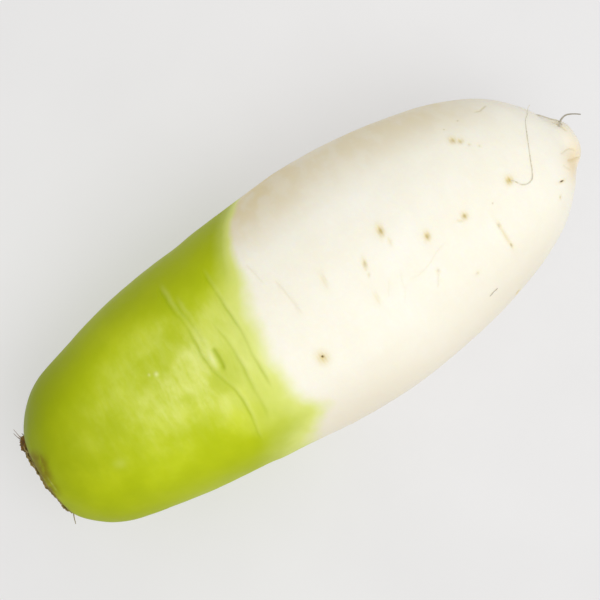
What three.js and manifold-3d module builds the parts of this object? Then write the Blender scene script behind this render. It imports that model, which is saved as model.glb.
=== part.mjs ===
// A stout green-shouldered daikon radish, lying on its side with its leaves cut off at the crown.
// X runs from the crown to the tail, Z is up, and the surface that the radish lies on is Z = 0.

import * as THREE from "three";
import { mergeVertices } from "three/addons/utils/BufferGeometryUtils.js";
import Module from "manifold-3d";

const wasm = await Module();
wasm.setup();

// Driving dimensions, in millimetres and degrees.
// The root is drawn along its own axis: "along" is the distance from the crown's apex towards the tail,
// and "turn" is the angle round the axis, 0 on top and positive towards +Y.
const LENGTH = 253.6; // from the crown's apex to the blunt tail
const HEIGHT_TO_WIDTH = 0.975; // the root is a little flatter than it is wide
const LIE_TILT = 2.8; // the crown end is the lighter one and lies lower
const REST_DEPTH = 1; // how much of the belly the flat resting spot takes away
const CENTRE_SHIFT = { x: -130, y: 1.2 }; // brings the middle of the whole over the origin
const SEGMENTS = 48; // faces round the root
const RINGS = 40; // graded rings along it, before those of the creases
const END_CROWDING = 0.72; // 0 spaces the rings evenly, towards 1 they crowd at both ends

// Half width of the root at distances along it: [along, radius].
const OUTLINE = [
  [2.6, 0],
  [2.8, 9],
  [3.3, 17.6],
  [4.5, 21.2],
  [11.6, 28.9],
  [19.6, 33.8],
  [35.6, 38.6],
  [59.6, 43.8],
  [91.6, 47.3],
  [123.6, 50.1],
  [147.6, 50.7],
  [171.6, 48.6],
  [195.6, 44.3],
  [215.6, 38.1],
  [231.6, 29.4],
  [241.6, 19.5],
  [247.2, 11.6],
  [250.8, 8.6],
  [252.8, 5.4],
  [LENGTH, 0],
];

// Sideways place of the axis, which no real root keeps quite straight: [along, y].
const AXIS_LINE = [
  [0, -3.4],
  [12, -2.5],
  [35, -2],
  [60, -1.4],
  [95, -1],
  [130, -1.4],
  [165, -1.1],
  [200, -0.4],
  [225, -0.3],
  [240, -1],
  [247, -1.9],
  [LENGTH, -1.9],
];
const BOW = 1.6; // how far both ends curve up from the middle

// Creases across the shoulder, from one turn to another.
const CREASE_HALF_WIDTH = 1.1;
const CREASE_FADE = 9; // degrees over which each end runs out
const CREASES = [
  { along: 85.6, from: -8, to: 52, depth: 0.65 },
  { along: 88.8, from: -48, to: 34, depth: 0.55 },
  { along: 96.4, from: -35, to: 18, depth: 0.5 },
  { along: 102.6, from: -22, to: 40, depth: 0.6 },
  { along: 122.4, from: -4, to: 30, depth: 0.25 },
  { along: 85.6, from: 98, to: 150, depth: 0.45 },
  { along: 102.6, from: 205, to: 252, depth: 0.45 },
];
// The creases between 85 and 97 mm lean, so their +Y ends lie nearer to the tail.
const LEAN = { most: 0.085, along: 91.5, spread: 6.5 };

// Low swellings of the surface: height, waves round the root, millimetres along it for one radian.
// They fade out towards both ends.
const SWELLING_FADE = { crown: 40, tail: 60 };
const SWELLINGS = [
  { height: 0.26, waves: 2, run: 31 },
  { height: 0.2, waves: 3, run: -19 },
  { height: 0.12, waves: 5, run: 12 },
];

// Scars of side roots on the upper side: place, size along, size across and depth.
const SCARS = [
  { along: 218.6, turn: -4.4, long: 1.2, wide: 1.2, deep: 0.7 },
  { along: 196.8, turn: -6.4, long: 0.9, wide: 1.4, deep: 0.6 },
  { along: 181.0, turn: -4, long: 0.9, wide: 1.4, deep: 0.7 },
  { along: 167.4, turn: 9, long: 1.1, wide: 1.9, deep: 0.7 },
  { along: 155.8, turn: 1, long: 0.8, wide: 1.8, deep: 0.6 },
  { along: 139.4, turn: 5, long: 0.8, wide: 1.3, deep: 0.4 },
  { along: 123.8, turn: -23.2, long: 0.9, wide: 1.1, deep: 0.6 },
  { along: 209.8, turn: 31, long: 1.0, wide: 1.6, deep: 0.5 },
  { along: 206.4, turn: -28.5, long: 0.8, wide: 5, deep: 0.7 },
  { along: 237.0, turn: -34, long: 0.7, wide: 1.4, deep: 0.6 },
  { along: 191.6, turn: -52.4, long: 2, wide: 0.6, deep: 0.4 },
  { along: 248.4, turn: -56, long: 1.7, wide: 0.7, deep: 0.6 },
];
// The unseen side has a second row of them, opposite the first, and a few strays between the rows.
const LOWER_ROW = { first: 172, last: 244, count: 7, turn: 180, scatter: 10 };
const STRAYS = { first: 112, last: 236, count: 9, turn: 180, scatter: 105 };
const HIDDEN_SCAR = { long: [0.8, 1.2], wide: [1.2, 2], deep: [0.5, 0.8] };
const SCAR_CLEARANCE = 3; // no scar comes nearer than this to the surface that the radish lies on
const SCAR_SEED = 11;

// Thin side roots that lie on the skin or hang off it: [along, turn, height above the skin].
const ROOTLET_RADIUS = 0.42;
const ROOTLET_SIDES = 5;
const ROOTLET_STEPS = 3; // lengths of strand for each point of a route
const SUNK = -0.9; // the ends that stay in the root start this deep
const ROOTLETS = [
  [
    [218.9, -5, SUNK],
    [220.4, -8, 0.3],
    [222.6, -12.4, 0.2],
    [226, -13, 0.3],
    [228.6, -7.4, 0.2],
    [231, 2, 0.2],
    [234.6, 17, 0.2],
    [238, 35, 0.2],
    [241, 54, 0.6],
    [243.6, 66, 4],
  ],
  [
    [250.6, 50, SUNK],
    [252.4, 60, 0.6],
    [254.2, 78, 3.5],
    [256.4, 88, 5.6],
    [260, 92, 3.6],
  ],
  [
    [246, 82, SUNK],
    [248, 80, 0.3],
    [250, 72, 0.2],
    [251.6, 62, SUNK],
  ],
  [
    [232.4, 172, SUNK],
    [234, 168, 0.3],
    [237, 158, 0.2],
    [240, 146, 0.3],
    [242, 132, 1.6],
    [245, 122, 3.2],
  ],
  [
    [206.4, 216, SUNK],
    [208, 218, 0.3],
    [212, 222, 0.2],
    [215, 229, 0.3],
    [216.5, 237, 0.2],
    [215.4, 244, 0.4],
  ],
];

// The crown: a low brown pad of dried leaf bases, let into the end of the root.
const CROWN_RADIUS = 18.4;
const CROWN_GAP = 0.3;
const CROWN_PLACE = { along: 3.6, y: -3.4 };
const CROWN_TURNED_UP = 3.5; // its face looks slightly up
const PAD_BELOW = 2.2;
const PAD_ABOVE = 1.7;
const PAD_SEGMENTS = 36;
const PAD_SHARES = [0, 0.4, 0.7, 0.9, 1]; // its rings, as shares of its radius
const SEAT_DEPTH = 12; // how far the hollow that it sits in is cut free in front
const STUBS = 20; // cut leaf stalks, in a spiral
const STUB_SPIRAL = 137.5; // turn from one leaf to the next
const STUB_SCATTER = 8; // degrees that a stub may be out of the spiral
const STUB_LEAN = [6, 14]; // degrees outwards
const STUB_INSET = 1.6; // the outermost stubs stand this far inside the rim
const STUB_RISE = [1.3, 1]; // above the pad, in the middle and at the rim
const STUB_SUNK = 0.3; // how deep each stands in the pad
const STUB_THICKNESS = 2.5;
const STUB_SPAN = [4.2, 10.5]; // length of each crescent, in the middle and at the rim
const CROWN_SEED = 5;
// Dry fibres on the rim: clock angle on the crown's face, length, curl, height.
const FIBRE_RADIUS = 0.36;
const FIBRE_INSET = 2.4;
const FIBRE_SUNK = -0.2;
// How a fibre goes on from its root to its end: shares of its length, its curl and its height.
const FIBRE_COURSE = [
  [0.4, 0.1, 0.4],
  [0.8, 0.5, 0.9],
  [1.3, 1.6, 1.2],
];
const FIBRES = [
  { clock: 84, length: 4.6, curl: 0.5, rise: 1.3 },
  { clock: 88, length: 3.2, curl: -0.5, rise: 0.7 },
  { clock: 93, length: 2.6, curl: 0.3, rise: 1.9 },
  { clock: 99, length: 2.0, curl: -0.2, rise: 0.4 },
  { clock: 268, length: 3.1, curl: 1.3, rise: 0.3 },
  { clock: 24, length: 2.2, curl: 0.4, rise: 1.1 },
  { clock: 196, length: 2.4, curl: -0.7, rise: 0.6 },
];

const SKIN_WHITE = 0xf7f1dc;
const SHOULDER_GREEN = 0xb3c822;
// The green ends on a tilted plane, the soil line that the root grew out of.
const SOIL_LINE = { along: 113, onTop: -8.2, toSide: 12.6, fade: 7 };

const RADIANS = Math.PI / 180;
const bell = (x) => Math.exp(-x * x);
const ramp = (x) => THREE.MathUtils.smoothstep(x, 0, 1);
const between = ([least, most], share) => THREE.MathUtils.lerp(least, most, share);

// A repeatable stream of numbers between 0 and 1.
function seededDraws(seed) {
  let state = seed;
  return () => {
    state = (state * 1664525 + 1013904223) % 4294967296;
    return state / 4294967296;
  };
}

function curveThrough(points) {
  const knots = points.map(([along, value]) => new THREE.Vector3(along, value, 0));
  return new THREE.CatmullRomCurve3(knots, false, "centripetal");
}

// The value of a curve's second coordinate where its first is "along".
function tableOf(curve) {
  const samples = curve.getPoints(600);
  return (along) => {
    const next = samples.findIndex((sample) => sample.x >= along);
    if (next <= 0) return next === 0 ? samples[0].y : samples.at(-1).y;
    const [before, after] = [samples[next - 1], samples[next]];
    return THREE.MathUtils.mapLinear(along, before.x, after.x, before.y, after.y);
  };
}

const outline = curveThrough(OUTLINE);
const radiusAt = tableOf(outline);
const axisYAt = tableOf(curveThrough(AXIS_LINE));
const axisZAt = (along) => BOW * (2 * (along / LENGTH) - 1) ** 2;

// How deep the skin lies below the outline because of the creases.
function creaseDepth(along, turn) {
  return CREASES.reduce((depth, crease) => {
    const across = (along - crease.along) / (0.6 * CREASE_HALF_WIDTH);
    const degrees = crease.to > 180 ? (turn / RADIANS + 360) % 360 : turn / RADIANS;
    const ends =
      ramp((degrees - crease.from) / CREASE_FADE) * ramp((crease.to - degrees) / CREASE_FADE);
    return depth + crease.depth * ends * bell(across);
  }, 0);
}

function swelling(along, turn) {
  const fade = ramp(along / SWELLING_FADE.crown) * ramp((LENGTH - along) / SWELLING_FADE.tail);
  const rise = SWELLINGS.reduce(
    (sum, { height, waves, run }) => sum + height * Math.sin(waves * turn + along / run),
    0,
  );
  return fade * rise;
}

// A point of the root, from its place along the axis, its turn and its distance from the axis.
function place(along, turn, radius) {
  const side = radius * Math.sin(turn);
  const lean = LEAN.most * bell((along - LEAN.along) / LEAN.spread);
  return new THREE.Vector3(
    along + lean * side,
    axisYAt(along) + side,
    axisZAt(along) + HEIGHT_TO_WIDTH * radius * Math.cos(turn),
  );
}

// A point at a height above the skin. Past the tail's end it stands off from the tail's last ring.
function onSkin(along, degrees, height = 0) {
  const turn = degrees * RADIANS;
  const radius = radiusAt(Math.min(along, LENGTH - 2)) + swelling(along, turn);
  return place(along, turn, radius + height);
}

// A closed geometry as a solid for joining and cutting.
function solidFrom(geometry) {
  const bare = geometry.index ? geometry.toNonIndexed() : geometry.clone();
  bare.deleteAttribute("normal");
  bare.deleteAttribute("uv");
  const merged = mergeVertices(bare, 1e-4);
  return new wasm.Manifold(
    new wasm.Mesh({
      numProp: 3,
      vertProperties: merged.attributes.position.array,
      triVerts: new Uint32Array(merged.index.array),
    }),
  );
}

function geometryFrom(solid) {
  const mesh = solid.getMesh();
  const geometry = new THREE.BufferGeometry();
  geometry.setAttribute("position", new THREE.BufferAttribute(mesh.vertProperties, 3));
  geometry.setIndex(new THREE.BufferAttribute(mesh.triVerts, 1));
  geometry.computeVertexNormals();
  return geometry;
}

// A thin few-sided strand along the points.
function strand(points, radius, steps) {
  const section = new THREE.Shape(
    Array.from({ length: ROOTLET_SIDES }, (_, side) => {
      const angle = (2 * Math.PI * side) / ROOTLET_SIDES;
      return new THREE.Vector2(radius * Math.cos(angle), radius * Math.sin(angle));
    }),
  );
  const path = new THREE.CatmullRomCurve3(points, false, "centripetal");
  return solidFrom(
    new THREE.ExtrudeGeometry(section, { steps, extrudePath: path, bevelEnabled: false }),
  );
}

// The rings of the root: graded along the outline, with three more on each crease.
function ringPoints() {
  const graded = Array.from({ length: RINGS + 1 }, (_, ring) => {
    const share = ring / RINGS;
    const crowded = share - (END_CROWDING * Math.sin(2 * Math.PI * share)) / (2 * Math.PI);
    const point = outline.getPointAt(crowded);
    return new THREE.Vector2(Math.max(point.y, 0), point.x);
  });
  const creaseRings = CREASES.flatMap(({ along }) =>
    [-1, 0, 1].map((step) => along + step * CREASE_HALF_WIDTH),
  );
  const clear = graded.filter((point) =>
    creaseRings.every((along) => Math.abs(point.y - along) > CREASE_HALF_WIDTH),
  );
  const sameRing = (one, other) => Math.abs(one - other) < 0.6 * CREASE_HALF_WIDTH;
  const added = creaseRings
    .filter((along, index) => creaseRings.findIndex((other) => sameRing(along, other)) === index)
    .map((along) => new THREE.Vector2(radiusAt(along), along));
  return [...clear, ...added].sort((a, b) => b.y - a.y);
}

// The root without its scars and side roots.
function rootBody() {
  const geometry = new THREE.LatheGeometry(ringPoints(), SEGMENTS);
  const position = geometry.attributes.position;
  for (let index = 0; index < position.count; index += 1) {
    const [x, along, z] = [position.getX(index), position.getY(index), position.getZ(index)];
    const turn = Math.atan2(x, z);
    const radius = Math.hypot(x, z);
    const relief = radius > 1 ? swelling(along, turn) - creaseDepth(along, turn) : 0;
    const moved = place(along, turn, radius + relief);
    position.setXYZ(index, moved.x, moved.y, moved.z);
  }
  return solidFrom(geometry);
}

// A shallow round pit where a side root broke off.
function scarPit({ along, turn, long, wide, deep }) {
  const pit = new THREE.SphereGeometry(1, 8, 6);
  pit.scale(long, wide, deep);
  pit.rotateX(-turn * RADIANS);
  const spot = onSkin(along, turn);
  pit.translate(spot.x, spot.y, spot.z);
  return solidFrom(pit);
}

function scatteredScars({ first, last, count, turn, scatter }, draw) {
  return Array.from({ length: count }, (_, index) => ({
    along: first + ((last - first) * (index + 0.6 * draw())) / count,
    turn: turn + scatter * (2 * draw() - 1),
    long: between(HIDDEN_SCAR.long, draw()),
    wide: between(HIDDEN_SCAR.wide, draw()),
    deep: between(HIDDEN_SCAR.deep, draw()),
  }));
}

// How the grown shape lies on the surface.
const lying = new THREE.Group();
lying.rotation.y = -LIE_TILT * RADIANS;
lying.updateMatrixWorld(true);
const bellyLine = Array.from({ length: LENGTH / 2 }, (_, step) => onSkin(LENGTH / 4 + step, 180));
const lowest = Math.min(...bellyLine.map((point) => lying.localToWorld(point).z));
lying.position.set(CENTRE_SHIFT.x, CENTRE_SHIFT.y, -lowest - REST_DEPTH);
lying.updateMatrixWorld(true);

// The space under the surface, seen from the root.
function ground() {
  const depth = 20;
  const block = new THREE.BoxGeometry(2 * LENGTH, LENGTH, depth);
  block.translate(0, 0, -depth / 2);
  return solidFrom(block.applyMatrix4(lying.matrixWorld.clone().invert()));
}

// The crown's own frame: its Z looks away from the root, its X up and its Y to the side.
const crownFrame = new THREE.Matrix4()
  .makeRotationY(CROWN_TURNED_UP * RADIANS - Math.PI / 2)
  .setPosition(CROWN_PLACE.along, CROWN_PLACE.y, axisZAt(CROWN_PLACE.along));

// How high the pad stands at a distance from its middle, as a share of that at the middle.
const padShare = (share) => 1 - 0.85 * share * share;

// The pad, grown by a margin for the hollow that it sits in.
function pad(margin, top) {
  const rim = CROWN_RADIUS + margin;
  const underside = PAD_SHARES.map(
    (share) => new THREE.Vector2(share * rim, -PAD_BELOW * padShare(share) - margin),
  );
  const upper = PAD_SHARES.map((share) => new THREE.Vector2(share * rim, top * padShare(share)));
  const geometry = new THREE.LatheGeometry([...underside, ...upper.reverse()], PAD_SEGMENTS);
  geometry.rotateX(Math.PI / 2);
  return solidFrom(geometry);
}

function rootSolid() {
  const draw = seededDraws(SCAR_SEED);
  const hidden = [...scatteredScars(LOWER_ROW, draw), ...scatteredScars(STRAYS, draw)].filter(
    ({ along, turn }) => lying.localToWorld(onSkin(along, turn)).z > SCAR_CLEARANCE,
  );
  const pits = [...SCARS, ...hidden].map(scarPit);
  const seat = pad(CROWN_GAP, SEAT_DEPTH).transform(crownFrame.elements);
  const cut = rootBody().subtract(wasm.Manifold.union([ground(), seat, ...pits]));
  const rootlets = ROOTLETS.map((route) =>
    strand(
      route.map(([along, turn, height]) => onSkin(along, turn, height)),
      ROOTLET_RADIUS,
      ROOTLET_STEPS * route.length,
    ),
  );
  return wasm.Manifold.union([cut, ...rootlets]);
}

// A cut leaf stalk: a crescent that hugs the crown's middle.
function stub(index, draw) {
  const out = Math.sqrt((index + 0.6) / STUBS);
  const span = between(STUB_SPAN, out);
  const rise = between(STUB_RISE, out) * between([0.7, 1.3], draw());
  const tipsBack = 0.18 * span;
  const crescent = new THREE.Shape();
  crescent.moveTo(-tipsBack, -span / 2);
  crescent.quadraticCurveTo(STUB_THICKNESS, 0, -tipsBack, span / 2);
  crescent.quadraticCurveTo(-STUB_THICKNESS, 0, -tipsBack, -span / 2);
  const foot = PAD_ABOVE * padShare(out) - STUB_SUNK;
  const geometry = new THREE.ExtrudeGeometry(crescent, {
    depth: rise + STUB_SUNK,
    curveSegments: 4,
    bevelEnabled: false,
  });
  geometry.rotateY(between(STUB_LEAN, draw()) * RADIANS);
  geometry.translate(out * (CROWN_RADIUS - STUB_INSET), 0, foot);
  geometry.rotateZ((index * STUB_SPIRAL + STUB_SCATTER * draw()) * RADIANS);
  return solidFrom(geometry);
}

function fibre({ clock, length, curl, rise }) {
  const start = new THREE.Vector3(CROWN_RADIUS - FIBRE_INSET, 0, FIBRE_SUNK);
  const onwards = FIBRE_COURSE.map(([outwards, sideways, upwards]) =>
    new THREE.Vector3(
      start.x + outwards * length,
      sideways * curl,
      FIBRE_RADIUS + upwards * rise,
    ),
  );
  const outOfTheMiddle = new THREE.Vector3(0, 0, 1);
  const course = [start, ...onwards].map((point) =>
    point.applyAxisAngle(outOfTheMiddle, clock * RADIANS),
  );
  return strand(course, FIBRE_RADIUS, ROOTLET_STEPS * FIBRE_COURSE.length);
}

function crownSolid() {
  const draw = seededDraws(CROWN_SEED);
  const stubs = Array.from({ length: STUBS }, (_, index) => stub(index, draw));
  return wasm.Manifold.union([pad(0, PAD_ABOVE), ...stubs, ...FIBRES.map(fibre)]);
}

// Paints the shoulder green by each vertex's place, over the root's white.
function paintShoulder(geometry) {
  const position = geometry.attributes.position;
  const colours = new Float32Array(3 * position.count);
  const [white, green] = [new THREE.Color(SKIN_WHITE), new THREE.Color(SHOULDER_GREEN)];
  for (let index = 0; index < position.count; index += 1) {
    const [along, y, z] = [position.getX(index), position.getY(index), position.getZ(index)];
    const turn = Math.atan2(y, z);
    const { onTop, toSide, fade } = SOIL_LINE;
    const edge = SOIL_LINE.along + onTop * Math.cos(turn) + toSide * Math.sin(turn);
    const share = ramp(0.5 + (edge - along) / fade);
    white.clone().lerp(green, share).toArray(colours, 3 * index);
  }
  geometry.setAttribute("color", new THREE.BufferAttribute(colours, 3));
}

const rootGeometry = geometryFrom(rootSolid());
paintShoulder(rootGeometry);
const radishRoot = new THREE.Mesh(
  rootGeometry,
  new THREE.MeshStandardMaterial({ vertexColors: true, roughness: 0.42, metalness: 0 }),
);
radishRoot.name = "radish_root";

const leafStubs = new THREE.Mesh(
  geometryFrom(crownSolid()),
  new THREE.MeshStandardMaterial({ color: 0x8a6a2f, roughness: 0.85, metalness: 0 }),
);
leafStubs.name = "leaf_stubs";
leafStubs.applyMatrix4(crownFrame);

lying.add(radishRoot, leafStubs);
const radish = new THREE.Group();
radish.add(lying);

export default radish;
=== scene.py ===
"""A stout green-shouldered daikon radish, lying on a pale floor and seen from straight above.

The skin, the side roots and the crown of cut leaf stalks are modelled over the frame's two solids.
A place on the root is "along", in millimetres from the crown's apex towards the tail, and "turn", the
angle round the root's axis, 0 on top and positive towards +Y. Meshes become metres when they are done.
"""

import math
import random

import bmesh
import bpy
import numpy as np
from mathutils import Matrix, Vector, noise


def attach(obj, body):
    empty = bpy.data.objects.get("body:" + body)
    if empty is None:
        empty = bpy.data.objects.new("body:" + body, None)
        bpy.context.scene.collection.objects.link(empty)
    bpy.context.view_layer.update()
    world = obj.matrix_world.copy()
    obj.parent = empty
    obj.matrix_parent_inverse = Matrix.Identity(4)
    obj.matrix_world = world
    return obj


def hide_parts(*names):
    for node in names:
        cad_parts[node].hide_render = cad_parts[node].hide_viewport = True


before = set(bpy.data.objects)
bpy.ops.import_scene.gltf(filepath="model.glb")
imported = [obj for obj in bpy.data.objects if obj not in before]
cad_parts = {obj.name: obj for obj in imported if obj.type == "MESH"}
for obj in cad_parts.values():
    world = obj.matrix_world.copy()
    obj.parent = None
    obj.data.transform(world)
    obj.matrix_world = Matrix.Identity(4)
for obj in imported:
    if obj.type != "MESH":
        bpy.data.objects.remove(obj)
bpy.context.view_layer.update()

MM = 0.001

# The root's form, as in the solid.
LENGTH = 253.6
HEIGHT_TO_WIDTH = 0.975
LIE_TILT = math.radians(-2.8)
REST_DEPTH = 1.0
CENTRE_SHIFT = (-130.0, 1.2)
OUTLINE = (
    (2.6, 0), (2.8, 9), (3.3, 17.6), (4.5, 21.2), (11.6, 28.9), (19.6, 33.8), (35.6, 38.6),
    (59.6, 43.8), (91.6, 47.3), (123.6, 50.1), (147.6, 50.7), (171.6, 48.6), (195.6, 44.3),
    (215.6, 38.1), (231.6, 29.4), (241.6, 19.5), (247.2, 11.6), (250.8, 8.6), (252.8, 5.4), (LENGTH, 0),
)
AXIS_LINE = (
    (0, -3.4), (12, -2.5), (35, -2), (60, -1.4), (95, -1), (130, -1.4), (165, -1.1), (200, -0.4),
    (225, -0.3), (240, -1), (247, -1.9), (LENGTH, -1.9),
)
BOW = 1.6
LEAN = {"most": 0.085, "along": 91.5, "spread": 6.5}
SWELLING_FADE = {"crown": 40, "tail": 60}
SWELLINGS = ((0.26, 2, 31), (0.2, 3, -19), (0.12, 5, 12))  # height, waves round the root, run

# Soft unevenness of the flesh: height, size and seed. It fades out where the root is thinner.
FLESH_WAVES = ((0.22, 17, 1), (0.09, 6, 2))
FLESH_WAVES_FADE = 12
# Folds at the pinched tail and on the shoulder round the crown: height, along, half length, waves
# round the root, their shift, and how unequal they are.
FOLDS = ((0.28, 248, 2.6, 5, 0.8, 0), (0.25, 8, 4, 9, 0, 1.2))

# The skin's mesh: steps round it, gap between its rings, and where the rings lie closer.
TURN_STEPS = 248
RING_GAP = 1.35
FINE_RINGS = ((2.6, 7.5, 0.55), (81.5, 105, 0.42), (241, LENGTH, 0.6))
# The mesh is finer this far round a mark and a groove, by this many cuts of an edge.
MARK_MARGIN = 2.0
GROOVE_MARGIN = 0.9
FINE_CUTS = 3

# Creases across the root: they fade out over some degrees at their ends.
CREASE_FADE = 10
CREASE_HALF_WIDTH = 0.6
# How a crease wanders: by how much, over how many degrees, and the shift from one to the next.
CREASE_WANDER = ((0.1, 3.1, 2), (0.06, 1.3, 1))
# Painted shade along the creases, as a dark stroke at the bottom and a wider one beside it, and the
# painted
# highlight on their lips: strength, place across, half width.
CREASE_SHADE = ((0.7, 0, 0.55), (0.3, -0.6, 1.6))
CREASE_HIGHLIGHT = (0.38, 1.3, 0.75)
# The lips beside a crease: place across it, half width, height as a share of the crease's depth.
CREASE_LIPS = ((1.4, 0.8, 0.5), (-1.5, 0.9, 0.4))
# Depth, how strong the painted shade in them is, and the places they pass, as turn and along.
CREASES = (
    (0.4, 0.5, (
        (-50, 87.6), (-42.8, 88.6), (-33.6, 90), (-25.2, 90.8), (-16.8, 90.2), (-10.4, 88.4),
        (-4, 86.6), (0.4, 85.9), (6.4, 85.4), (10.8, 85.8), (16.8, 85.8), (24, 85.4),
        (32.8, 84.2), (47.2, 83.2), (56, 82.8),
    )),
    (0.34, 0.45, (
        (5, 89.4), (7.2, 89), (9.2, 88.4), (15.2, 88), (24, 87.2), (31.6, 86.2), (41, 85.6),
    )),
    (0.32, 0.42, (
        (-41, 95), (-31.6, 95.6), (-24.8, 95.8), (-17.2, 96.2), (-10, 96.6), (-2.8, 96.8),
        (4.4, 96.8), (10.4, 95.6), (14, 95), (19, 94.4),
    )),
    (0.36, 0.45, (
        (-26, 101.4), (-18.4, 101.6), (-12.8, 101.8), (-5.6, 102.2), (1.6, 103), (11.2, 103.2),
        (19.6, 102.8), (27.6, 102.4), (35.6, 102), (44, 101.6),
    )),
    (0.16, 0.3, ((-25, 71.4), (-20, 71.2), (-15.6, 70.8), (-11, 70.6))),
    (0.45, 0.7, ((98, 83.4), (112, 84.8), (126, 84.2), (150, 86))),
    (0.45, 0.7, ((205, 101.4), (222, 102.8), (238, 102.2), (252, 103.2))),
    (0.35, 0.6, ((168, 88.8), (180, 88), (196, 88.6), (214, 88.2))),
    (0.25, 0.3, ((122, 104), (140, 105.2), (160, 105))),
)

# Scars of side roots and other marks: along, turn, half size along and across the root, slant in
# degrees, depth, tan of the halo, darkness of the heart.
MARKS = (
    (218.6, -4.4, 1.1, 1.15, 0, 0.4, 1.0, 0.12),
    (196.9, -6.3, 0.95, 1.05, 0, 0.4, 0.85, 0.25),
    (194.6, -7.0, 1.1, 0.45, 40, 0.15, 0.4, 0.0),
    (181.0, -4.0, 0.9, 1.25, 12, 0.45, 0.9, 0.22),
    (167.4, 9.6, 0.95, 1.7, 10, 0.5, 0.9, 0.22),
    (168.2, 3.4, 0.6, 1.4, 10, 0.2, 0.3, 0.0),
    (155.8, 1.2, 0.7, 1.7, 16, 0.42, 0.6, 0.16),
    (155.0, -3.6, 0.45, 0.9, 24, 0.2, 0.3, 0.1),
    (152.8, -14.0, 0.8, 2.2, 8, 0.25, 0.26, 0.0),
    (139.6, 5.0, 0.9, 2.4, 7, 0.28, 0.28, 0.0),
    (123.8, -23.2, 0.62, 0.75, 0, 0.5, 0.9, 1.0),
    (123.6, -23.6, 1.5, 1.9, 0, 0.12, 0.8, 0.0),
    (209.0, 31.8, 1.0, 1.3, 0, 0.3, 0.8, 0.1),
    (211.2, 29.4, 0.9, 1.0, 0, 0.25, 0.7, 0.06),
    (213.4, 25.2, 0.5, 0.6, 0, 0.15, 0.3, 0.08),
    (216.4, 22.0, 0.5, 0.6, 0, 0.15, 0.25, 0.06),
    (215.2, 44.8, 0.4, 0.45, 0, 0.1, 0.25, 0.3),
    (208.8, 41.2, 0.35, 0.4, 0, 0.1, 0.2, 0.3),
    (208.6, -9.4, 0.35, 0.4, 0, 0.1, 0.2, 0.3),
    (206.3, -28.3, 0.6, 4.9, -1, 0.4, 0.42, 0.0),
    (206.2, -21.2, 0.6, 1.3, 0, 0.25, 0.5, 0.15),
    (206.5, -35.6, 0.5, 1.3, 0, 0.25, 0.5, 0.32),
    (237.0, -34.2, 1.7, 0.42, 41, 0.4, 0.5, 1.0),
    (233.2, -42.0, 0.5, 0.7, 0, 0.2, 0.45, 0.15),
    (177.6, -20.0, 0.6, 0.9, 10, 0.2, 0.32, 0.12),
    (189.8, -34.4, 0.9, 0.8, 0, 0.2, 0.2, 0.12),
)
# The unseen side: rows of marks, given by along from, along to, count, turn and scatter.
HIDDEN_MARKS = ((172, 244, 7, 180, 10), (112, 236, 9, 180, 105))
MARK_CLEARANCE = 3.0  # none is nearer than this to the floor
HIDDEN_SIZES = ((0.8, 0.4), (1.2, 0.8), (0.5, 0.3))  # long, wide and deep: least, and how much more
MARK_SEED = 11
# The draw for them, as in the solid: each number is made from the one before.
DRAW_FACTOR, DRAW_STEP, DRAW_RANGE = 1664525, 1013904223, 2**32

# Bumps: along, turn, half size along and across, height, strength of the painted highlight on top.
BUMPS = (
    (88.3, 2.0, 1.1, 3.3, 0.45, 1.0),
    (67.2, 10.8, 0.8, 0.9, 0.3, 1.0),
    (64.6, 12.6, 0.5, 0.6, 0.15, 0.6),
    (6.6, -9.0, 0.35, 3.2, 0.12, 0.3),
    (248.6, -34, 1.4, 2.2, 0.4, 0.0),
    (245.8, 40, 2.0, 3.4, 0.3, 0.0),
    (36.0, -18, 2.5, 2.0, 0.14, 0.15),
)

# Grooves on the tail's nose and hairlines: half width, depth, strength of the painted shade in them,
# then the places they pass.
GROOVES = (
    (0.9, 0.5, 0.62, ((90.2, 7.2), (90.6, 4), (90.8, 0.8), (90.8, -2.6), (90.3, -6.4))),
    (0.5, 0.55, 0.75, (
        (243.4, -25), (244.4, -29.6), (246.2, -39), (247.6, -47), (249, -57), (250.2, -74),
    )),
    (0.4, 0.35, 0.45, (
        (242, -12), (243.6, -13.6), (245.6, -15), (247.2, -18), (248.6, -26), (249.4, -36),
    )),
    (0.35, 0.2, 0.3, ((240.6, -22), (241.8, -31), (243.4, -42))),
    (0.45, 0.4, 0.5, ((247.4, 62), (249.6, 40), (250.6, 14))),
    (0.45, 0.4, 0.5, ((248.6, 150), (250.8, 172), (249.6, 205), (247, 222))),
    (0.45, 0.22, 0.85, ((222.2, 49.6), (225, 50.2), (226.8, 53.6), (229, 58.4))),
    (0.4, 0.12, 0.3, ((177.2, -20.6), (176, -23.4), (173.8, -27.4))),
    (0.3, 0.1, 0.2, (
        (165, -15.2), (170.6, -16.4), (174.2, -15.6), (177.4, -14.4), (180.4, -12.4),
        (183.4, -11.6), (187.6, -10.6),
    )),
    (0.35, 0.1, 0.14, ((160.4, -9.8), (158.4, -13.4), (156.4, -17))),
    (0.35, 0.1, 0.14, ((166.2, -8), (164, -14), (163.4, -18), (159.4, -25.4))),
    (0.45, 0.14, 0.25, ((117.8, 31), (118.4, 28), (119.2, 23), (120.2, 16.5))),
    (0.45, 0.16, 0.3, ((124, 17), (124.8, 13.2), (125.6, 5), (126.4, -4))),
)

# Where the green ends, as turn and along, and how wide the change is: 1 is soft.
SOIL_LINE = (
    (-180, 113), (-140, 106), (-105, 101.5), (-74, 101.8), (-60, 105), (-48, 112.4), (-38, 107.2),
    (-26, 105.8), (-17.6, 106.2), (-4.8, 107.2), (9.2, 109.4), (20.4, 112), (34.8, 115), (50.8, 118.4),
    (74.4, 126), (100, 127.6), (140, 121), (180, 113),
)
LINE_WIDTH = {"usual": 1.0, "towards_y": 0.34}
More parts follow.
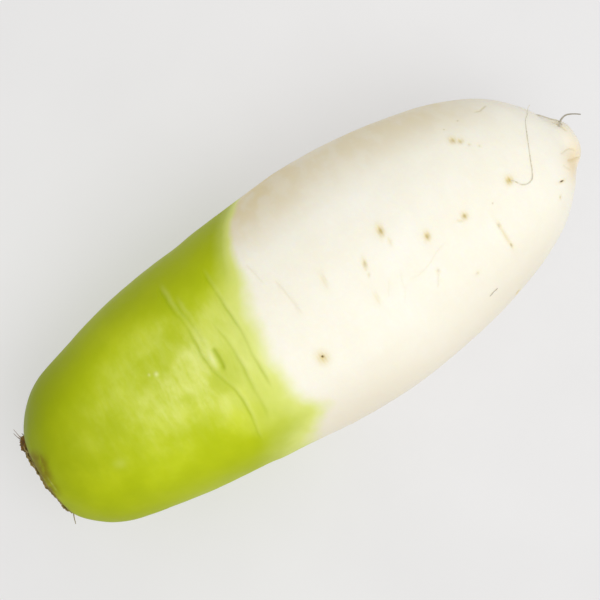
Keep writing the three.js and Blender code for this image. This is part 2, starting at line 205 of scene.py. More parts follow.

# The skin's colours by place: a painted highlight of a broad sheen along the top, over a pale patch of
# the skin, painted shade towards the crown, deeper towards +Y, and the tan of the tail's nose and tip.
SHEEN_AND_PALE_TOP = {"along": 78, "long": 34, "turn": 1, "wide": 25}
CROWN_END_SHADE = {"end": 58, "usual": 0.66, "towards_y": 0.27}
NOSE = {"along": 245.5, "long": 4.4, "turn": -42, "wide": 26, "strength": 0.6}
TIP = {"along": 251, "long": 3.5, "strength": 0.22}
# Painted shade on the flanks, partly a creamier tone of the skin there: on both flanks, and deeper and
# tanner on the +Y side only. The sine of the turn that it starts from, and what it loses past the green
# and towards the tail.
FLANK_SHADE_AND_TONE = {"from": 0.45, "past_green": 0.3, "to_tail": 0.5, "tail_run": 38}
Y_FLANK_SHADE_AND_TAN = {"from": 0.5, "past_green": 0.35, "to_tail": 0.55, "tail_run": 30}
PAST_GREEN = {"from": 132, "run": 30}
TAIL_FROM = 205
# The brown stain round the crown: its reach and soft edge, and tongues: reach, turn, half width.
STAIN = {"reach": 6, "edge": 5.5}
STAIN_TONGUES = ((7.6, 12, 15), (4, -14, 13))

# The crown, as in the solid: radius, place, and how far it is turned up.
CROWN_RADIUS = 18.4
CROWN_PLACE = (3.6, -3.4)
CROWN_TURN = math.radians(3.5 - 90)
PAD_ABOVE = 1.7
PAD_BELOW = 2.2
PAD_FALL = 0.85  # from the middle to the rim, as a share
PAD_RINGS = 22
PAD_STEPS = 120
# The hollow that it sits in: how far below the pad's top, the width and waves of the lip round it,
# and how far along the root it can reach.
SEAT_GAP = 0.9
LIP_WIDTH = 0.9
LIP_WAVES = {"height": 0.35, "count": 7}
HOLLOW_REACH = 14
# Cut leaf stalks in a spiral from the middle: their radius, length, height and thickness there and
# at the rim, and the turn from one leaf to the next.
STUBS = 25
STUB_SPIRAL = 137.5
STUB_RADIUS = (1.6, 14.0)
STUB_LENGTH = (3.4, 9.6)
STUB_HEIGHT = (1.1, 1.35)
STUB_THICKNESS = (1.5, 2.5)
STUB_WIDEST = 110  # degrees round the crown's middle
STUB_DISH = 0.4
# A stalk's bend and how its cut top falls to the tips, slopes and waves, as shares.
STUB_SHAPE = {"bend": 0.1, "tip_fall": 0.25, "slope": 0.1, "wave": 0.12}
STUB_STEPS = (20, 6)
STUB_SCATTER = 6  # degrees
STUB_HEIGHTS = (0.86, 1.12)
BASE_SUNK = -0.9  # the level that stalks and scales start from
CROWN_SEED = 5

# Side roots: thickness at the root and at the tip, how dark they dried, then along, turn and
# height above the skin.
SUNK = -0.7
SIDE_ROOTS = (
    (0.25, 0.12, 0.12, (
        (218.9, -5, SUNK), (219.7, -6, 0.3), (220.6, -7.6, 0.28), (221.8, -10.8, 0.25),
        (224.2, -13.2, 0.22), (226.6, -12.6, 0.22), (228.3, -8.6, 0.22), (229.4, -4.4, 0.2),
        (231.0, 2, 0.2), (234.6, 17.2, 0.2), (238, 35.2, 0.2), (240.2, 46, 0.24),
        (241.2, 53, 0.45), (241.9, 58.4, 1.1), (242.7, 60.4, 2.8), (243.6, 59.6, 4.9),
    )),
    (0.42, 0.22, 0.75, (
        (249, 35, SUNK), (249.8, 39.4, 1.3), (251.4, 45.6, 3.1), (253.8, 52, 2.8),
        (256.4, 53.7, 1.3), (259.2, 52.9, -0.9),
    )),
    (0.3, 0.2, 0.42, (
        (243.8, 65, SUNK), (244.8, 60, 0.8), (246.2, 54.6, 1.9), (248.3, 51.6, 1.8),
        (250, 46, 1.5), (250.6, 40, SUNK),
    )),
    (0.36, 0.16, 0.4, (
        (232.4, 172, SUNK), (234.0, 168, 0.3), (237.0, 158, 0.25), (240.0, 146, 0.3),
        (242.0, 132, 1.6), (245.0, 122, 3.2),
    )),
    (0.34, 0.16, 0.5, (
        (206.4, 216, SUNK), (208.0, 218, 0.3), (212.0, 222, 0.25), (215.0, 229, 0.3),
        (216.5, 237, 0.25), (215.4, 244, 0.4),
    )),
    (0.2, 0.13, 0.5, (
        (189.0, -52.8, SUNK), (189.7, -52.6, 0.12), (191.6, -52.2, 0.14), (193.5, -52.4, 0.1),
        (194.2, -52.5, SUNK),
    )),
)
SIDE_ROOT_SIDES = 8
SIDE_ROOT_STEP = 0.5

# Dried scales of leaf bases round the rim, in rings: radius, count, span of one in degrees, height.
SCALE_RINGS = ((18.3, 12, 43, 1.5), (17.2, 11, 46, 2.1), (16.1, 10, 50, 2.5))
SCALE_THICKNESS = 0.42
SCALE_PALE_EDGE = 0.55
# A scale's lean outwards over its width and height, the fall of its edge to the tips, and the tears
# in that edge: height, waves, and share of the phase.
SCALE_SHAPE = {"skew": 0.25, "flare": 0.35, "tip_fall": 0.6}
SCALE_TEARS = ((0.07, 9, 1), (0.06, 23, 2))
SCALE_STEPS = (26, 5)
SCALE_SCATTER = 0.15  # of the gap between two
SCALE_HEIGHTS = (0.8, 1.12)
SCALE_RING_SHIFT = 31  # degrees for each millimetre of radius
# The tuft on the +Y side, where scales are taller and browner, and the lean of the heights to +Y.
TUFT = {"clock": 66, "spread": 21, "taller": 0.25}
TALLER_TOWARDS_Y = 0.22
# Roughness of the dried bases: height, size and seed.
CROWN_WAVES = ((0.22, 2.2, 5), (0.12, 0.8, 6))

# Dry fibres on the crown's rim. They start inside it and follow one course, in shares of their
# length, curl and height.
FIBRE_INSET = 2.4
FIBRE_COURSE = ((0.4, 0.1, 0.4), (0.8, 0.5, 0.9), (1.3, 1.6, 1.2))
FIBRE_TAPER = 0.4
FIBRE_SIDES = 6
FIBRE_STEP = 0.4
# Clock angle on the crown's face, length, curl, height, radius.
FIBRES = (
    (62, 7.2, 0.8, 1.1, 0.18),
    (66, 3.4, -0.5, 1.6, 0.24),
    (70, 5.2, 0.7, 2.4, 0.22),
    (58, 3.0, -0.4, 2.2, 0.24),
    (74, 3.2, 0.5, 1.4, 0.26),
    (54, 2.4, 0.3, 1.7, 0.22),
    (80, 2.8, 0.4, 2.3, 0.26),
    (88, 3.2, -0.6, 0.8, 0.28),
    (94, 2.6, 0.3, 1.9, 0.26),
    (274, 5.0, 1.5, 1.6, 0.3),
    (24, 2.2, 0.4, 1.1, 0.2),
    (38, 1.8, -0.5, 1.3, 0.2),
    (196, 2.4, -0.7, 0.6, 0.2),
    (150, 2.0, 0.6, 0.9, 0.2),
    (322, 2.2, -0.5, 0.8, 0.2),
)


def bell(x):
    return np.exp(-x * x)


def ramp(x):
    """0 below 0, 1 above 1, and smooth between."""
    share = np.clip(x, 0, 1)
    return share * share * (3 - 2 * share)


def linear(red, green, blue):
    """A colour of 0 to 255 a channel, as it looks on a screen, as the renderer's linear colour."""
    channels = (channel / 255 for channel in (red, green, blue))
    return (*(c / 12.92 if c <= 0.04045 else ((c + 0.055) / 1.055) ** 2.4 for c in channels), 1.0)


# The root's own coordinates.


def curve_through(knots, steps=40):
    """Points of a smooth curve through the knots, with steps points between each two."""
    knots = np.array(knots, float)
    knots = np.vstack([2 * knots[0] - knots[1], knots, 2 * knots[-1] - knots[-2]])
    share = np.linspace(0, 1, steps, endpoint=False)[:, None]
    spans = []
    for before, start, end, after in zip(knots, knots[1:], knots[2:], knots[3:]):
        first, middle, last = (
            np.linalg.norm(b - a) ** 0.5 for a, b in ((before, start), (start, end), (end, after))
        )
        leaving = (start - before) / first - (end - before) / (first + middle) + (end - start) / middle
        arriving = (end - start) / middle - (after - start) / (middle + last) + (after - end) / last
        leaving, arriving = leaving * middle, arriving * middle
        spans.append(
            start
            + leaving * share
            + (3 * (end - start) - 2 * leaving - arriving) * share**2
            + (2 * (start - end) + leaving + arriving) * share**3
        )
    return np.vstack([*spans, knots[-2]])


outline_points = curve_through(OUTLINE, 200)
axis_points = curve_through(AXIS_LINE)


def radius_at(along):
    return np.interp(along, outline_points[:, 0], outline_points[:, 1])


def axis_z(along):
    return BOW * (2 * along / LENGTH - 1) ** 2


def swelling(along, turn):
    fade = ramp(along / SWELLING_FADE["crown"]) * ramp((LENGTH - along) / SWELLING_FADE["tail"])
    return fade * sum(height * np.sin(waves * turn + along / run) for height, waves, run in SWELLINGS)


def place(along, turn, radius):
    """Points in millimetres in the frame that the root grew in."""
    side = radius * np.sin(turn)
    lean = LEAN["most"] * bell((along - LEAN["along"]) / LEAN["spread"])
    axis_y = np.interp(along, axis_points[:, 0], axis_points[:, 1])
    return np.stack(
        [along + lean * side, axis_y + side, axis_z(along) + HEIGHT_TO_WIDTH * radius * np.cos(turn)],
        axis=-1,
    )


def on_skin(along, degrees, height=0.0):
    turn = np.radians(degrees)
    radius = radius_at(np.minimum(along, LENGTH - 2)) + swelling(along, turn)
    return place(along, turn, radius + height)


def lying_matrix():
    """Turns the growth frame, in millimetres, to how the radish lies, in metres."""
    tilt = Matrix.Rotation(LIE_TILT, 4, "Y")
    belly = on_skin(np.arange(LENGTH / 4, 3 * LENGTH / 4), 180.0)
    lowest = min((tilt @ Vector(point)).z for point in belly)
    lift = Matrix.Translation((*CENTRE_SHIFT, -lowest - REST_DEPTH))
    return Matrix.Scale(MM, 4) @ lift @ tilt


lying = lying_matrix()
crown_middle = Matrix.Translation((*CROWN_PLACE, axis_z(CROWN_PLACE[0])))
crown_frame = crown_middle @ Matrix.Rotation(CROWN_TURN, 4, "Y")


def moved(points, matrix):
    """An array of points, moved by a matrix."""
    matrix = np.array(matrix)
    return points @ matrix[:3, :3].T + matrix[:3, 3]


def vertex_array(mesh):
    points = np.empty(3 * len(mesh.vertices))
    mesh.vertices.foreach_get("co", points)
    return points.reshape(-1, 3)


def set_vertices(mesh, points):
    mesh.vertices.foreach_set("co", np.ascontiguousarray(points, np.float32).ravel())
    mesh.update()


def finished(name, bm, material, *, smooth=True):
    """An object from a bmesh, at the origin."""
    mesh = bpy.data.meshes.new(name)
    bm.to_mesh(mesh)
    bm.free()
    mesh.materials.append(material)
    if smooth:
        mesh.shade_smooth()
    piece = bpy.data.objects.new(name, mesh)
    bpy.context.scene.collection.objects.link(piece)
    return piece


def add_masks(mesh, masks):
    """Writes values at the mesh's vertices, for its material to read."""
    for name, values in masks.items():
        attribute = mesh.attributes.new(name, "FLOAT", "POINT")
        attribute.data.foreach_set("value", np.ascontiguousarray(values, np.float32))


# Nodes of the materials.


class Nodes:
    """Adds nodes to a material or group, with sockets linked or set by name."""

    def __init__(self, tree):
        self.tree = tree

    def add(self, kind, sockets=None, **settings):
        node = self.tree.nodes.new("ShaderNode" + kind)
        for name, value in settings.items():
            setattr(node, name, value)
        for name, value in (sockets or {}).items():
            self.feed(node.inputs[name], value)
        return node

    def feed(self, socket, value):
        if isinstance(value, bpy.types.NodeSocket):
            self.tree.links.new(value, socket)
        else:
            socket.default_value = value

    def math(self, operation, *values):
        node = self.add("Math", operation=operation)
        for socket, value in zip(node.inputs, values):
            self.feed(socket, value)
        return node.outputs[0]

    def mask(self, name):
        return self.add("Attribute", attribute_name=name).outputs["Fac"]

    def mix(self, factor, first, second):
        node = self.add("Mix", data_type="RGBA", clamp_factor=True)
        self.feed(node.inputs[0], factor)
        self.feed(node.inputs[6], first)
        self.feed(node.inputs[7], second)
        return node.outputs[2]

    def tint(self, colour, mask, strength, towards):
        """A colour moved towards another one where a mask is, by at most a strength."""
        return self.mix(self.math("MULTIPLY", mask, strength), colour, linear(*towards))

    def bump(self, height, strength, distance):
        sockets = {"Height": height, "Strength": strength, "Distance": distance}
        return self.add("Bump", sockets).outputs[0]

    def range(self, value, low, high, to_low=0.0, to_high=1.0):
        """A value's smooth way from low to high, as a value from to_low to to_high."""
        ends = {"From Min": low, "From Max": high, "To Min": to_low, "To Max": to_high}
        return self.add("MapRange", {"Value": value, **ends}, interpolation_type="SMOOTHSTEP").outputs[0]

    def stops(self, value, *stops):
        """A colour that changes with a value, given as (value, colour) stops from 0 to 1."""
        node = self.add("ValToRGB", {"Fac": value})
        elements = node.color_ramp.elements
        while len(elements) < len(stops):
            elements.new(0.5)
        for element, (position, colour) in zip(elements, stops):
            element.position = position
            element.color = colour
        return node.outputs["Color"]

    def group(self, group, **sockets):
        node = self.add("Group", node_tree=group)
        for name, value in sockets.items():
            self.feed(node.inputs[name.replace("_", " ").capitalize()], value)
        return node.outputs

    def patches(self, scale, low, high, stretch=(1, 1, 1), detail=3.0):
        """Mottling by the piece's own coordinates."""
        position = self.add("TexCoord").outputs["Object"]
        shape = {"stretch": stretch, "scale": scale, "detail": detail, "low": low, "high": high}
        return self.group(mottling, position=position, **shape)["Patches"]

    def pores(self, cells, grain):
        position = self.add("TexCoord").outputs["Object"]
        return self.group(pores, position=position, cells=cells, grain=grain)["Height"]


def new_group(name, inputs, outputs):
    """An empty node group with named sockets: (name, kind, default) in, (name, kind) out."""
    tree = bpy.data.node_groups.new(name, "ShaderNodeTree")
    for socket_name, kind, default in inputs:
        socket = tree.interface.new_socket(socket_name, in_out="INPUT", socket_type="NodeSocket" + kind)
        socket.default_value = default
    for socket_name, kind in outputs:
        tree.interface.new_socket(socket_name, in_out="OUTPUT", socket_type="NodeSocket" + kind)
    given, result = tree.nodes.new("NodeGroupInput").outputs, tree.nodes.new("NodeGroupOutput").inputs
    return tree, Nodes(tree), given, result


def mottling_group():
    """Cloudy patches, stretched along any direction, from 0 to 1."""
    tree, nodes, given, result = new_group(
        "grown_mottling",
        (
            ("Position", "Vector", (0, 0, 0)),
            ("Stretch", "Vector", (1, 1, 1)),
            ("Scale", "Float", 20.0),
            ("Detail", "Float", 3.0),
            ("Low", "Float", 0.35),
            ("High", "Float", 0.65),
        ),
        (("Patches", "Float"),),
    )
    position, stretch = given["Position"], given["Stretch"]
    stretched = nodes.add("VectorMath", {0: position, 1: stretch}, operation="MULTIPLY")
    clouds = nodes.add(
        "TexNoise", {"Vector": stretched.outputs[0], "Scale": given["Scale"], "Detail": given["Detail"]}
    )
    nodes.feed(result["Patches"], nodes.range(clouds.outputs[0], given["Low"], given["High"]))
    return tree


def pores_group():
    """The fine relief of plant skin: shallow cells with a soft grain over them."""
    tree, nodes, given, result = new_group(
        "plant_pores",
        (("Position", "Vector", (0, 0, 0)), ("Cells", "Float", 900.0), ("Grain", "Float", 0.5)),
        (("Height", "Float"),),
    )
    cell_sockets = {"Vector": given["Position"], "Scale": given["Cells"]}
    cells = nodes.add("TexVoronoi", cell_sockets, feature="SMOOTH_F1")
    grain_scale = nodes.math("MULTIPLY", given["Cells"], 2.3)
    grain = nodes.add("TexNoise", {"Vector": given["Position"], "Scale": grain_scale, "Detail": 2.0})
    weighted = nodes.math("MULTIPLY", grain.outputs[0], given["Grain"])
    nodes.feed(result["Height"], nodes.math("ADD", cells.outputs["Distance"], weighted))
    return tree


mottling = mottling_group()
pores = pores_group()


def new_material(name, **constants):
    """A material with its shader's constant values set, its nodes and its shader's inputs."""
    material = bpy.data.materials.new(name)
    material.use_nodes = True
    shader = material.node_tree.nodes["Principled BSDF"]
    for socket, value in constants.items():
        shader.inputs[socket.replace("_", " ")].default_value = value
    return material, Nodes(material.node_tree), shader.inputs


def skin_material():
    """Waxy root skin: green above the soil line, ivory below it, with tan and brown scars."""
    material, nodes, shader = new_material(
        "radish_skin",
        Subsurface_Weight=0.15,
        Subsurface_Radius=(1.0, 0.72, 0.3),
        Subsurface_Scale=0.004,
        Specular_IOR_Level=0.06,
    )
    broad = nodes.patches(16.0, 0.34, 0.66)
    streaks = nodes.patches(60.0, 0.4, 0.68, (0.25, 1, 1))
    wrinkles = nodes.patches(430.0, 0.3, 0.72, (1, 0.34, 0.34), detail=6.0)
    mottles = nodes.patches(150.0, 0.34, 0.68, (1, 0.5, 0.5), detail=5.0)
    freckles = nodes.patches(420.0, 0.52, 0.7, detail=1.0)
    flank_shade_and_tone, y_flank_shade_and_tan = nodes.mask("flank_shade_and_tone"), nodes.mask("y_flank_shade_and_tan")

    # green of the shoulder
    leaf = nodes.mix(broad, linear(194, 210, 12), linear(206, 219, 24))
    leaf = nodes.tint(leaf, streaks, 0.25, (208, 220, 40))
    blotches = nodes.patches(52.0, 0.3, 0.7, (0.9, 1, 1), detail=7.0)
    leaf = nodes.tint(leaf, blotches, 0.48, (166, 184, 4))
    leaf = nodes.tint(leaf, mottles, 0.35, (176, 193, 10))
    # Painted highlight of a broad sheen along the top, over a pale patch of the skin, broken up by the
    # blotches, mottles and wrinkles.
    unblotched = nodes.range(blotches, 0.0, 1.0, 1.0, 0.35)
    unmottled = nodes.range(mottles, 0.0, 1.0, 1.0, 0.62)
    cloudy = nodes.math("MULTIPLY", unblotched, unmottled)
    strokes = nodes.math("MULTIPLY", nodes.range(wrinkles, 0.0, 1.0, 0.66, 1.0), cloudy)
    leaf = nodes.tint(leaf, nodes.mask("sheen_and_pale_top"), strokes, (231, 238, 146))
    # Painted shade on both flanks and, deeper, on the +Y side, partly a deeper tone of the skin.
    leaf = nodes.tint(leaf, flank_shade_and_tone, 0.7, (166, 180, 4))
    leaf = nodes.tint(leaf, y_flank_shade_and_tan, 0.42, (140, 152, 0))
    # Painted shade towards the crown, where the root curves down, deeper towards +Y.
    leaf = nodes.mix(nodes.mask("crown_end_shade"), leaf, linear(130, 144, 0))

    # ivory of the buried part
    ivory = nodes.mix(broad, linear(251, 248, 234), linear(254, 252, 243))
    ivory = nodes.tint(ivory, streaks, 0.25, (245, 239, 220))
    ivory = nodes.tint(ivory, freckles, 0.12, (255, 254, 249))
    ivory = nodes.tint(ivory, mottles, 0.18, (243, 237, 218))
    # Painted shade on both flanks and, deeper and tanner, on the +Y side, partly a creamier tan of the
    # skin.
    ivory = nodes.tint(ivory, flank_shade_and_tone, 0.8, (232, 223, 202))
    ivory = nodes.tint(ivory, y_flank_shade_and_tan, nodes.range(mottles, 0.0, 1.0, 0.45, 0.85), (229, 212, 164))

    # from one to the other
    edge_noise = nodes.math("SUBTRACT", nodes.patches(75.0, 0.3, 0.7, detail=2.5), 0.5)
    line = nodes.math("ADD", nodes.mask("soil_line"), nodes.math("MULTIPLY", edge_noise, 3.0))
    near_line = nodes.stops(
        nodes.range(line, -30.0, 8.0),
        (0.0, (0, 0, 0, 1)),
        (0.45, (0.35, 0.35, 0.35, 1)),
        (0.72, (0.8, 0.8, 0.8, 1)),
        (0.86, (1, 1, 1, 1)),
    )
    glow = nodes.tint(leaf, near_line, 0.85, (229, 236, 140))
    white_share = nodes.range(line, -4.5, 6.5)
    colour = nodes.mix(white_share, glow, ivory)

    # painted shade in creases and grooves, painted highlight on the creases' lips and on bumps, the
    # tail's tan, scars and the stain
    crease_shade_colour = nodes.mix(white_share, linear(158, 178, 0), linear(222, 214, 184))
    # Painted shade in the creases and grooves.
    colour = nodes.mix(nodes.mask("crease_shade_line"), colour, crease_shade_colour)
    # Painted highlight on the creases' raised lips and on the bumps.
    colour = nodes.tint(colour, nodes.mask("ridge_highlight"), 0.7, (234, 240, 168))
    colour = nodes.mix(nodes.mask("tail_tint"), colour, linear(232, 205, 150))
    colour = nodes.mix(nodes.mask("scar_halo"), colour, linear(220, 200, 124))
    colour = nodes.mix(nodes.mask("scar_heart"), colour, linear(96, 68, 24))
    stain = nodes.math("MULTIPLY", nodes.mask("crown_stain"), nodes.patches(260.0, 0.2, 0.6))
    colour = nodes.tint(colour, stain, 0.8, (122, 104, 0))
    nodes.feed(shader["Base Color"], colour)

    gloss = nodes.range(broad, 0.0, 1.0, 0.4, 0.5)
    dry_scars = nodes.math("MULTIPLY", nodes.mask("scar_halo"), 0.25)
    nodes.feed(shader["Roughness"], nodes.math("ADD", gloss, dry_scars))

    fine = nodes.pores(700.0, 0.8)
    folds = nodes.math("MULTIPLY", wrinkles, nodes.range(nodes.mask("sheen_and_pale_top"), 0.0, 1.0, 0.35, 1.6))
    relief = nodes.math("ADD", nodes.math("MULTIPLY", fine, 0.25), folds)
    relief = nodes.math("ADD", relief, nodes.math("MULTIPLY", streaks, 0.35))
    nodes.feed(shader["Normal"], nodes.bump(relief, 0.35, 0.0002))
    return material


def side_root_material():
    """Thin side roots: pale where they are fresh, grey-brown where they dried."""
    material, nodes, shader = new_material("side_root_skin", Specular_IOR_Level=0.3)
    bands = nodes.patches(900.0, 0.35, 0.65, detail=2.0)
    fresh = nodes.mix(bands, linear(247, 243, 228), linear(228, 221, 200))
    nodes.feed(shader["Base Color"], nodes.mix(nodes.mask("dried"), fresh, linear(96, 86, 66)))
    nodes.feed(shader["Roughness"], nodes.range(bands, 0.0, 1.0, 0.55, 0.75))
    fine = nodes.pores(2500.0, 1.0)
    nodes.feed(shader["Normal"], nodes.bump(fine, 0.5, 0.0001))
    return material


def crown_material():
    """Dried leaf bases: brown and olive sides, pale torn edges, and painted shade on the pad between
    them and on their low parts near it.
    """
    material, nodes, shader = new_material("dried_leaf_base", Specular_IOR_Level=0.25)
    broad = nodes.patches(130.0, 0.35, 0.65)
    fibres = nodes.patches(900.0, 0.4, 0.62, (1, 0.3, 0.3))
    side = nodes.mix(broad, linear(72, 58, 12), linear(96, 90, 22))
    side = nodes.tint(side, fibres, 0.5, (158, 132, 66))
    edge = nodes.mix(broad, linear(212, 198, 138), linear(186, 166, 96))
    colour = nodes.mix(nodes.mask("torn_edge"), side, edge)
    tuft_brown = nodes.mix(fibres, linear(86, 54, 10), linear(142, 96, 34))
    colour = nodes.mix(nodes.mask("tuft"), colour, tuft_brown)
    # Painted shade on the pad between the leaf bases and on their low parts near it.
    colour = nodes.mix(nodes.mask("gap"), colour, linear(48, 32, 12))
    nodes.feed(shader["Base Color"], colour)
    nodes.feed(shader["Roughness"], nodes.range(fibres, 0.0, 1.0, 0.72, 0.92))
    fine = nodes.pores(1100.0, 1.0)
    relief = nodes.math("ADD", nodes.math("MULTIPLY", fine, 0.6), fibres)
    nodes.feed(shader["Normal"], nodes.bump(relief, 0.7, 0.0004))
    return material


# The skin.


def ring_places():
    """Along and radius of each ring of the skin, closer together where FINE_RINGS says."""
    gaps = np.full(len(outline_points), RING_GAP)
    for first, last, gap in FINE_RINGS:
        gaps[(outline_points[:, 0] >= first) & (outline_points[:, 0] <= last)] = gap
    strides = np.linalg.norm(np.diff(outline_points, axis=0), axis=1) / gaps[1:]
    count = np.concatenate([[0], np.cumsum(strides)])
    wanted = np.linspace(0, count[-1], round(count[-1]) + 1)
    along, radius = (np.interp(wanted, count, outline_points[:, axis]) for axis in (0, 1))
    return list(zip(along, np.maximum(radius, 0)))


def hidden_marks():
    """Scars on the side that the photograph doesn't show."""
    state = MARK_SEED

    def draw():
        nonlocal state
        state = (state * DRAW_FACTOR + DRAW_STEP) % DRAW_RANGE
        return state / DRAW_RANGE

    marks = []
    for first, last, count, turn, scatter in HIDDEN_MARKS:
        for index in range(count):
            along = first + (last - first) * (index + 0.6 * draw()) / count
            degrees = turn + scatter * (2 * draw() - 1)
            long, wide, deep = [least + more * draw() for least, more in HIDDEN_SIZES]
            height = (lying @ Vector(on_skin(along, degrees))).z / MM
            if height > MARK_CLEARANCE:
                marks.append((along, degrees, long, wide, 8, deep, 0.9, 0.6 * draw()))
    return marks


def share_of(along, turn, spot_along, spot_turn, long, wide, slant=0.0):
    """Distance from a spot on the skin, as a share of the spot's half sizes."""
    away = along - spot_along
    angle = (turn - math.radians(spot_turn) + math.pi) % (2 * math.pi) - math.pi
    across = angle * radius_at(min(spot_along, LENGTH - 2))
    cos, sin = math.cos(math.radians(slant)), math.sin(math.radians(slant))
    return np.hypot((away * cos - across * sin) / long, (across * cos + away * sin) / wide)


def distance_to_route(along, turn, route):
    """Distance on the skin from a line through places, and the share of the way along the line."""
    nearest = np.full(len(along), 1e9)
    progress = np.zeros(len(along))
    for index, ((along_a, turn_a), (along_b, turn_b)) in enumerate(zip(route, route[1:])):
        radius = radius_at(min((along_a + along_b) / 2, LENGTH - 2))
        across = ((turn - math.radians(turn_a) + math.pi) % (2 * math.pi) - math.pi) * radius
        step = np.array([along_b - along_a, math.radians(turn_b - turn_a) * radius])
        share = np.clip(((along - along_a) * step[0] + across * step[1]) / (step @ step), 0, 1)
        distance = np.hypot(along - along_a - share * step[0], across - share * step[1])
        closer = distance < nearest
        nearest = np.where(closer, distance, nearest)
        progress = np.where(closer, (index + share) / (len(route) - 1), progress)
    return nearest, progress


def refine_near(bm, marks):
    """Cuts the skin's faces finer round each mark, bump and groove."""
    points = np.array([vert.co for vert in bm.verts])
    along, turn = points[:, 0], np.arctan2(points[:, 1], points[:, 2])
    near = np.zeros(len(points), bool)
    for mark_along, mark_turn, long, wide, *_ in (*marks, *BUMPS):
        reach = (long + MARK_MARGIN, wide + MARK_MARGIN)
        near |= share_of(along, turn, mark_along, mark_turn, *reach) < 1
    for half_width, _, _, route in GROOVES:
        near |= distance_to_route(along, turn, route)[0] < half_width + GROOVE_MARGIN
    edges = [edge for edge in bm.edges if near[edge.verts[0].index] and near[edge.verts[1].index]]
    bmesh.ops.subdivide_edges(bm, edges=edges, cuts=FINE_CUTS, use_grid_fill=True)


def crease_relief(along, turn):
    """Height of the creases and their lips, the painted shade in the creases and the painted highlight
    on the lips.
    """
    degrees = np.degrees(turn)
    relief, dark, pale = (np.zeros(len(along)) for _ in range(3))
    for index, (depth, darkness, route) in enumerate(CREASES):
        line = curve_through(route)
        first, last = line[0, 0], line[-1, 0]
        angle = np.where(degrees < 0, degrees + 360, degrees) if last > 180 else degrees
        wander = sum(most * np.sin(angle / run + shift * index) for most, run, shift in CREASE_WANDER)
        across = along - np.interp(angle, line[:, 0], line[:, 1]) - wander
        strength = ramp((angle - first) / CREASE_FADE) * ramp((last - angle) / CREASE_FADE)
        strength *= 0.78 + 0.22 * np.sin(angle / 5.2 + 1.7 * index)
        relief -= depth * strength * np.exp(-np.abs(across) / CREASE_HALF_WIDTH)
        for middle, half_width, share in CREASE_LIPS:
            relief += share * depth * strength * bell((across - middle) / half_width)
        # Painted shade along each of the creases: a dark stroke at the bottom and a wider one beside it.
        strokes = sum(share * bell((across - middle) / half) for share, middle, half in CREASE_SHADE)
        dark = np.maximum(dark, darkness * strength * strokes)
        # Painted highlight on the creases' lips.
        share, middle, half = CREASE_HIGHLIGHT
        pale = np.maximum(pale, share * darkness * strength * bell((across - middle) / half))
    return relief, dark, pale


def scar_relief(along, turn, marks):
    """Height of the scars' pits and rims, how tan their halos are and how dark their hearts."""
    relief, halo, heart = (np.zeros(len(along)) for _ in range(3))
    for index, (mark_along, mark_turn, long, wide, slant, deep, tan, darkness) in enumerate(marks):
        share = share_of(along, turn, mark_along, mark_turn, long, wide, slant)
        relief += deep * (0.22 * bell((share - 1.7) / 0.45) - bell(share / 0.9))
        blotchy = 0.85 + 0.15 * np.sin(5 * along + 3 * index)
        halo = np.maximum(halo, tan * blotchy * bell(share / 1.45))
        heart = np.maximum(heart, darkness * ramp((1.0 - share) / 0.75))
    return relief, halo, heart


def bump_relief(along, turn):
    """Height of the bumps, and the painted highlight on them."""
    relief, pale = np.zeros(len(along)), np.zeros(len(along))
    for bump_along, bump_turn, long, wide, height, highlight_strength in BUMPS:
        rise = bell(share_of(along, turn, bump_along, bump_turn, long, wide))
        relief += height * rise
        pale = np.maximum(pale, highlight_strength * rise)
    return relief, pale


def groove_relief(along, turn):
    """Height of the grooves and hairlines, and the painted shade in them."""
    relief, dark = np.zeros(len(along)), np.zeros(len(along))
    for half_width, depth, darkness, route in GROOVES:
        distance, progress = distance_to_route(along, turn, route)
        strength = ramp(progress / 0.2) * ramp((1 - progress) / 0.2) * bell(distance / half_width)
        relief -= depth * strength
        dark = np.maximum(dark, darkness * strength)
    return relief, dark


def shoulder_line(along, turn):
    """Distance past the end of the green, in millimetres of a soft edge."""
    line = curve_through(SOIL_LINE)
    edge = np.interp(np.degrees(turn), line[:, 0], line[:, 1])
    towards_y = ramp((np.sin(turn) - 0.15) / 0.6)
    width = LINE_WIDTH["usual"] + (LINE_WIDTH["towards_y"] - LINE_WIDTH["usual"]) * towards_y
    return (along - edge) / width


def clouds(points, size, seed):
    """Smooth noise from -1 to 1 at each point, with features of a size in millimetres."""
    shift = Vector((seed, 2.3 * seed, -seed))
    return np.array([noise.noise(Vector(point) / size + shift) for point in points])


def uneven(points, waves):
    """Noise in waves of some heights, sizes and seeds."""
    return sum(height * clouds(points, size, seed) for height, size, seed in waves)


def spot(along, degrees, place):
    """A soft patch of the skin, 1 at its middle."""
    beside = bell((degrees - place["turn"]) / place["wide"])
    return bell((along - place["along"]) / place["long"]) * beside


def flank_share(side, along, flank_shade_and_tone):
    """How deep the painted shade and tone on the sides are, given the sine of the turn."""
    past_green = flank_shade_and_tone["past_green"] * ramp((along - PAST_GREEN["from"]) / PAST_GREEN["run"])
    to_tail = flank_shade_and_tone["to_tail"] * ramp((along - TAIL_FROM) / flank_shade_and_tone["tail_run"])
    return ramp((side - flank_shade_and_tone["from"]) / (1 - flank_shade_and_tone["from"])) * (1 - past_green - to_tail)


def pad_share(share):
    """The pad's thickness, as a share, where share is the way from its middle to its rim."""
    return 1 - PAD_FALL * share * share


def pad_level(out):
    """Height of the pad's top at a distance from the crown's middle."""
    return PAD_ABOVE * pad_share(np.minimum(out / CROWN_RADIUS, 1))


